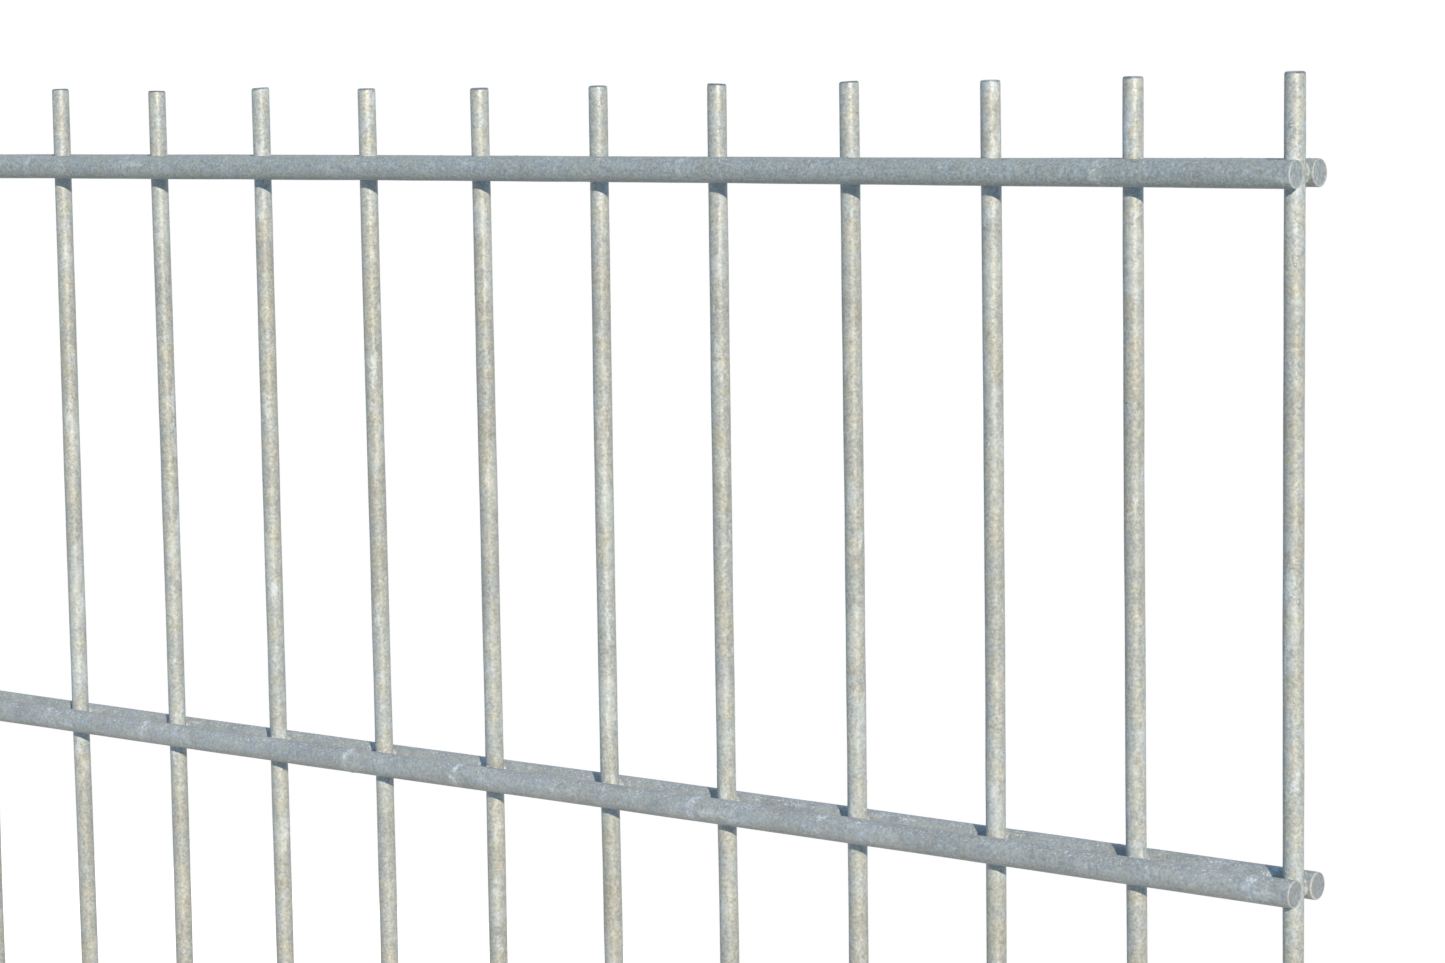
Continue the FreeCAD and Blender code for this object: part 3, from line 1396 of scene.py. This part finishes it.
    def rimmed(self, colour: Term) -> Term:
        """Darkens the cut ends of the rails and adds their pale rims, by the distance from the rail's axis.

        Args:
            colour: the colour.

        Returns:
            The colour with its cut ends.
        """
        graph, finish, layout = self.graph, self.finish, self.layout
        aside = graph.axis(self.place, "Y").size() - layout.rail_offset
        out = graph.maths("SQRT", aside * aside + self.rise * self.rise)
        from_end = layout.half_length - graph.axis(self.place, "X").size()
        wall, flat = (layout.rail_radius - inside for inside in self.rim_wall)
        near = from_end.rising(*self.rim_end)
        rim, cut = near * out.rising(flat, wall), near * out.rising(wall, flat)
        colour = graph.shaded(colour, 1.0 - finish.cut_dark * cut)
        rim = rim * self.mottle.rising(*self.rim_fray)
        # the pale rim is pale zinc and partly a painted highlight on the rounded edge
        return graph.blend(rim * finish.rim, colour, finish.rim_zinc_and_highlight)

    # Zone of the paler zinc and painted bounce light round a weld of an upright
    def bounce_and_pale_zone(self) -> Term:
        """How near a weld of an upright is: it reaches farther up than down, and is most beside the rail."""
        zone = self.rise.rising(*self.low_zone) * self.rise.rising(*self.high_zone)
        return (1.0 - self.rail_share) * zone + self.rail_share * self.rise.size().rising(*self.beside_rail)

    def runs(self) -> Term:
        """Pale runs of zinc: where drawn-out noise is high, more so beside a weld, frayed by the grain.

        Returns:
            Their strength.
        """
        bloom = self.run_more * (self.from_weld.rising(*self.run_bloom) * self.finish.weld_bloom)
        noise = self.graph.noise(self.lengthways(self.bent, self.run_draw), self.finish.run, Detail.FINEST)
        edge = self.run_edge[0] - self.run_edge[1] * self.finish.run_share
        wet = (noise + bloom).rising(*(edge + past for past in self.run_step))
        return wet * self.grain.rising(*self.run_fray).raised(HALF)

    def specks(self, halo: Term | float) -> Term:
        """White specks: high spots of fine noise, in patches, and more of them where the zinc faces up.

        Args:
            halo: strength of the rings round the welds, where they crowd.

        Returns:
            Their strength.
        """
        patch = self.graph.noise(self.place, self.speck_crowd, Detail.SOFT)
        top = self.finish.top_specks * self.upward.rising(*self.on_top)
        crowd = self.speck_more * (patch - HALF) + top + self.speck_more * halo
        edge = self.speck_edge[0] - self.speck_edge[1] * self.finish.speck_share - crowd
        fine = self.graph.noise(self.place, self.speck, Detail.CRISP)
        return ((fine - edge) / self.speck_fade).at_most(1.0).at_least(0.0)

    def halos(self) -> Term:
        """Rings round the welds of a rail: where the distance from a weld's middle is about a ring's radius.

        Each weld's ring has a strength of its own, and its left half is the stronger.

        Returns:
            Their strength.
        """
        graph = self.graph
        stray = self.halo_fray * (graph.noise(self.place, self.halo_fray, Detail.FINE) - HALF)
        reach = graph.maths("SQRT", self.past * self.past + self.rise * self.rise) + stray
        broken = graph.noise(self.place, self.halo_grain, Detail.CRISP).rising(*self.halo_step)
        ring = reach.rising(*self.halo_inside) * reach.rising(*self.halo_outside)
        ring = ring * broken.raised(self.halo_least)
        number = {"W": self.weld + self.halo_level * self.level}
        chance = graph.node("ShaderNodeTexWhiteNoise", {"noise_dimensions": "1D"}, number)["Value"]
        left = self.past.rising(*self.halo_side).raised(self.halo_right)
        return ring * left * chance.rising(*self.halo_chance)

    def scribbles(self) -> Term:
        """Curled marks: the lines along which bent noise is exactly half, broken up by other noise.

        They are densest a little way from each weld and missing beside it.

        Returns:
            Their strength.
        """
        line = (self.graph.noise(self.bent, self.mark, Detail.PLAIN) - HALF).size().rising(*self.mark_line)
        broken = self.graph.noise(self.bent, self.mark_break, Detail.FINE).rising(*self.mark_step)
        dense = self.from_weld.rising(*self.mark_dense).raised(self.mark_sparse)
        return line * broken * (self.from_weld.rising(*self.mark_bare) * dense)

    def draw_marks(self) -> Term:
        """Fine marks across a bar: high spots of noise that is flattened along it.

        Returns:
            Their strength.
        """
        size, factors = self.scratch
        flat = self.graph.vector_maths("MULTIPLY", self.place, factors)
        return self.graph.noise(flat, size, Detail.SOFT).rising(*self.scratch_step)

    def patches(self) -> Term:
        """Large pale patches with sharp edges: a few of the cells of a pattern drawn out lengthways."""
        drawn = self.lengthways(self.graph.bent(self.place, *self.patch_curl), self.patch_draw)
        return self.graph.cells(drawn, self.patch, "Green")[0].rising(*self.patch_step)

    def pinholes(self) -> Term:
        """Rare dark pinholes: the middles of a few of the large cells."""
        chosen, from_middle = self.graph.cells(self.place, self.pin_spacing, "Green")
        return from_middle.rising(*self.pin_size) * chosen.rising(*self.pin_step)


UPRIGHT_ZINC = ZincFinish(
    name="zinc_on_uprights",
    deep=(0.31, 0.328, 0.32),
    plain=(0.362, 0.384, 0.374),
    warm=(1.065, 1.0, 0.9),
    frost=(0.62, 0.66, 0.66),
    metal=0.1,
    gloss=0.42,
    along=Direction.UP,
    run_share=0.4,
    draw_mark=0.25,
    patch=0.26,
    # paler zinc and painted bounce light round the welds
    weld_pale_and_bounce=(1.11, 1.155, 1.23),
    # painted bluish sky shade on the tips, partly their darker sheared zinc
    above=(0.3, 0.38, 0.5),
)
RAIL_ZINC = ZincFinish(
    name="zinc_on_rails",
    deep=(0.28, 0.314, 0.338),
    plain=(0.33, 0.37, 0.397),
    frost=(0.74, 0.77, 0.8),
    # painted warm bounce light on the undersides
    below=(1.08, 1.02, 0.94),
    along=Direction.LEVEL,
    cloud=15.0 * MM,
    grain=0.9 * MM,
    grit=1.3,
    run_share=0.2,
    speck_share=0.6,
    scribble=0.3,
    halo=1.0,
    run_white=0.3,
    # pale rim of zinc, partly a painted highlight
    rim=0.4,
    cut_dark=0.2,
    top_specks=0.12,
)
TOP_RAIL_ZINC = replace(
    RAIL_ZINC,
    name="zinc_on_top_rails",
    deep=(0.262, 0.306, 0.328),
    plain=(0.28, 0.327, 0.35),
    grit=1.7,
    run_share=0.05,
    speck_share=0.3,
    halo=0.7,
    cut_dark=0.04,
    top_specks=0.09,
)
WEB_ZINC = ZincFinish(
    name="zinc_webs",
    deep=(0.355, 0.378, 0.385),
    plain=(0.47, 0.495, 0.505),
    frost=(0.72, 0.71, 0.7),
    along=Direction.UP,
    cloud=6.0 * MM,
    run=2.0 * MM,
    run_share=0.4,
    speck_share=1.2,
    scribble=0.0,
    gloss=0.4,
)


# Sub-assemblies


@dataclass
class BarMaker:
    """Makes the shape of any bar of the panel, the same each time.

    Attributes:
        layout: the panel's sizes.
        foot_out: how far an upright's foot may stand above its nominal height.
        first_rail: added to the numbers of the rails, to keep them past those of the uprights.
    """

    layout: PanelLayout
    foot_out: float = 0.25 * MM
    first_rail: int = 200

    def upright(self, place: float) -> BarShape:
        """The upright at a nominal X, with its small errors of place and length.

        Args:
            place: its nominal X.

        Returns:
            Its shape.
        """
        layout = self.layout
        number = layout.step_from_right(place) + 1
        foot = layout.foot + Draw.FOOT.numbers(number).uniform(0, self.foot_out)
        start, length = (layout.true_place(place), 0.0, foot), layout.true_tip(place) - foot
        return BarShape(start, Direction.UP, length, layout.upright_radius, SHEARED_TIP, number)

    def rail(self, rail: RailPlace) -> BarShape:
        """A rail.

        Args:
            rail: its place.

        Returns:
            Its shape.
        """
        layout = self.layout
        return BarShape(
            start=(-layout.half_length, rail.side.value * layout.rail_offset, rail.height),
            direction=Direction.LEVEL,
            length=2 * layout.half_length,
            radius=layout.rail_radius,
            end=ZINC_RIMMED_END,
            number=self.first_rail + 2 * round(rail.height / MM) + rail.side.value,
            segments=24,
            lump=0.011,
            drift=0.2 * MM,
            lean=0.03,
            strips=10,
        )

    def beads(self, bars: list[BarShape], kinds: list[BeadKind]) -> Surface:
        """Beads of zinc of each kind on each bar, as one surface."""
        places = self.layout.all_uprights
        return Surface.in_columns([ZincBeads(bar, kind, places).surface() for bar in bars for kind in kinds])


@dataclass
class UprightRow:
    """The uprights: straight bars with sheared ends, and the grains of zinc on them.

    Attributes:
        bars: makes their shapes.
        finish: their zinc.
        lone_strips: strips on the texture for an upright that is alone in its node.
    """

    bars: BarMaker
    finish: bpy.types.Material
    lone_strips: int = 7

    def build(self) -> list[bpy.types.Object]:
        """Builds the bars and the grains of every node of uprights.

        Returns:
            The pieces.
        """
        pieces = []
        for group in self.bars.layout.uprights:
            count = len(group.places)
            strips = BarShape.strips if count > 1 else self.lone_strips
            shapes = [
                replace(self.bars.upright(place), strips=strips, slot=slot, slots=count)
                for slot, place in enumerate(group.places)
            ]
            bars = Surface.joined([shape.surface() for shape in shapes])
            grains = self.bars.beads(shapes, [UPRIGHT_GRAINS])
            bars = bars.to_object(f"{group.node}_zinc", self.finish)
            grains = grains.to_object(f"{group.node}_grains", self.finish)
            pieces.append(finished(bars, group.node))
            pieces.append(finished(grains))
        return pieces


@dataclass
class RailPair:
    """The rails, the webs of zinc at their welds, and the grains and drips on them.

    Attributes:
        bars: makes their shapes.
        finish: zinc of the rails.
        web_finish: zinc of the webs.
        top_finish: zinc of the top rails.
    """

    bars: BarMaker
    finish: bpy.types.Material
    web_finish: bpy.types.Material
    top_finish: bpy.types.Material

    def build(self) -> list[bpy.types.Object]:
        """Builds every rail with its webs, grains and drips, but no drips at the bottom, so near the ground.

        Returns:
            The pieces.
        """
        pieces, heights = [], self.bars.layout.rail_heights
        for rail in self.bars.layout.rails:
            shape = self.bars.rail(rail)
            webs = WeldWebs(self.bars, rail).surface()
            drips = [DRIPS] if rail.height > heights[0] else []
            beads = self.bars.beads([shape], [RAIL_GRAINS, CREST, *drips])
            finish = self.top_finish if rail.height == heights[-1] else self.finish
            bar = shape.surface().to_object(f"{rail.node}_zinc", finish)
            webs = webs.to_object(f"{rail.node}_webs", self.web_finish)
            beads = beads.to_object(f"{rail.node}_beads", finish)
            pieces.append(finished(bar, rail.node))
            pieces += [finished(piece) for piece in (webs, beads)]
        return pieces


def finished(piece: bpy.types.Object, node: str | None = None) -> bpy.types.Object:
    """Fixes a piece to the panel and reports it.

    Args:
        piece: the piece.
        node: the node of the frame that it stands for, if any.

    Returns:
        The piece.
    """
    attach(piece, "root")
    if node:
        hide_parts(node)
    LOG.info("%s: %d faces", piece.name, len(piece.data.polygons))
    return piece


# Stage


@dataclass(frozen=True)
class Stage:
    """The pale floor, the light and the white surroundings.

    Attributes:
        floor_low: the floor's corner at the far left end, in front of the panel.
        floor_high: its corner at the right end, behind the panel.
        floor_colour: colour of the floor.
        floor_glow: light that the floor adds for the eye, so that it meets the white backdrop and
            the shadow on it is grey.
        backdrop: colour that the eye and clean metal see all round.
        sky: soft light from all round, a little blue.
        sky_level: its strength.
        key_level: strength of the main light.
        key_colour: its colour.
        key_turn: direction it comes from, in degrees to the right of straight in front of the panel.
        key_height: how high it stands, in degrees.
        key_softness: its width as seen from the panel, in degrees.
    """

    floor_low: Pair = (-3.8, -1.0)
    floor_high: Pair = (2.4, 2.4)
    floor_colour: Colour = (0.9, 0.8, 0.68)
    floor_glow: Colour = (0.78, 0.67, 0.59)
    backdrop: Colour = (1.0, 1.0, 1.0)
    sky: Colour = (0.17, 0.54, 1.0)
    sky_level: float = 0.43
    key_level: float = 4.3
    key_colour: Colour = (1.0, 0.91, 0.77)
    key_turn: float = 52.0
    key_height: float = 20.0
    key_softness: float = 1.0

    def build(self) -> None:
        """Makes the floor, the lamp and the world."""
        self.make_floor()
        self.make_lamp()
        self.make_world()

    @staticmethod
    def seen(graph: Graph) -> Term:
        """Whether a ray comes from the eye, a mirror or glass."""
        path = graph.node("ShaderNodeLightPath")
        total = path["Is Camera Ray"] + path["Is Glossy Ray"] + path["Is Transmission Ray"]
        return total.at_most(1.0)

    def make_floor(self) -> None:
        """Lays the floor: it takes the panel's shadow, and glows for the eye up to the backdrop's white."""
        made = bpy.data.materials.new("pale_floor")
        made.use_nodes = True
        graph = Graph(made.node_tree)
        glow = graph.blend(self.seen(graph), (0.0, 0.0, 0.0), self.floor_glow)
        shader = graph.node(
            "ShaderNodeBsdfPrincipled",
            None,
            {
                "Base Color": (*self.floor_colour, 1.0),
                "Roughness": 0.9,
                "Specular IOR Level": 0.0,
                "Emission Color": glow,
                "Emission Strength": 1.0,
            },
        )
        graph.node("ShaderNodeOutputMaterial", None, {"Surface": shader["BSDF"]})
        mesh = bpy.data.meshes.new("floor")
        (left, front), (right, back) = self.floor_low, self.floor_high
        corners = [(left, front, 0.0), (right, front, 0.0), (right, back, 0.0), (left, back, 0.0)]
        mesh.from_pydata(corners, [], [(0, 1, 2, 3)])
        mesh.materials.append(made)
        floor = bpy.data.objects.new("floor", mesh)
        bpy.context.scene.collection.objects.link(floor)

    def make_lamp(self) -> None:
        """Hangs the main light, a distant lamp that shines along its own -Z."""
        lamp = bpy.data.lights.new("key", "SUN")
        lamp.energy = self.key_level
        lamp.color = self.key_colour
        lamp.angle = math.radians(self.key_softness)
        light = bpy.data.objects.new("key", lamp)
        lift = Matrix.Rotation(math.radians(90.0 - self.key_height), 4, "X")
        light.matrix_world = Matrix.Rotation(math.radians(self.key_turn), 4, "Z") @ lift
        bpy.context.scene.collection.objects.link(light)

    def make_world(self) -> None:
        """Sets the white backdrop for the eye and the soft sky for everything else."""
        world = bpy.data.worlds.new("studio")
        bpy.context.scene.world = world
        world.use_nodes = True
        graph = Graph(world.node_tree)
        colours = {"sky": (self.sky, self.sky_level), "white": (self.backdrop, 1.0)}
        lights = {
            name: graph.node("ShaderNodeBackground", None, {"Color": (*colour, 1.0), "Strength": level})
            for name, (colour, level) in colours.items()
        }
        shaders = {0: self.seen(graph), 1: lights["sky"][0], 2: lights["white"][0]}
        both = graph.node("ShaderNodeMixShader", None, shaders)
        graph.node("ShaderNodeOutputWorld", None, {"Surface": both[0]})


@dataclass(frozen=True)
class PhotoCamera:
    """The camera of the photograph.

    Attributes:
        eye: where it stands.
        yaw: degrees that it turns left from straight through the panel.
        pitch: degrees that it looks up.
        roll: degrees that it leans clockwise.
        focal: focal length in pixels of the photograph.
        sensor: width of the sensor in millimetres.
    """

    eye: tuple[float, float, float] = (1.7561, -0.8938, 1.0342)
    yaw: float = 38.356
    pitch: float = -6.352
    roll: float = 0.895
    focal: float = 3684.7
    sensor: float = 36.0

    def build(self) -> None:
        """Places the camera, which looks along its own -Z with its own +Y up."""
        data = bpy.data.cameras.new("photo_camera")
        data.sensor_width = self.sensor
        data.lens = self.sensor * self.focal / PHOTO_WIDTH
        data.clip_start = 0.01
        data.clip_end = 100.0
        camera = bpy.data.objects.new("photo_camera", data)
        level = Matrix.Rotation(math.radians(90.0), 4, "X")
        turned = (
            Matrix.Rotation(math.radians(self.yaw), 4, "Z")
            @ Matrix.Rotation(math.radians(self.pitch), 4, "X")
            @ Matrix.Rotation(math.radians(self.roll), 4, "Y")
        )
        camera.matrix_world = Matrix.Translation(self.eye) @ turned @ level
        bpy.context.scene.collection.objects.link(camera)
        bpy.context.scene.camera = camera


def main() -> None:
    """Builds the panel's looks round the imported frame."""
    logging.basicConfig(level=logging.INFO, format="%(name)s: %(message)s")
    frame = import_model()
    bpy.context.scene.view_settings.view_transform = "Standard"
    layout = PanelLayout.from_frame(list(frame["nodes"]))
    LOG.info("%d rails, %d uprights", len(layout.rails), len(layout.all_uprights))
    upright_zinc, rail_zinc, web_zinc, top_rail_zinc = (
        finish.material(layout) for finish in (UPRIGHT_ZINC, RAIL_ZINC, WEB_ZINC, TOP_RAIL_ZINC)
    )
    bars = BarMaker(layout)
    pieces = UprightRow(bars, upright_zinc).build()
    pieces += RailPair(bars, rail_zinc, web_zinc, top_rail_zinc).build()
    Stage().build()
    PhotoCamera().build()
    LOG.info("%d pieces", len(pieces))


if __name__ == "__main__":
    main()
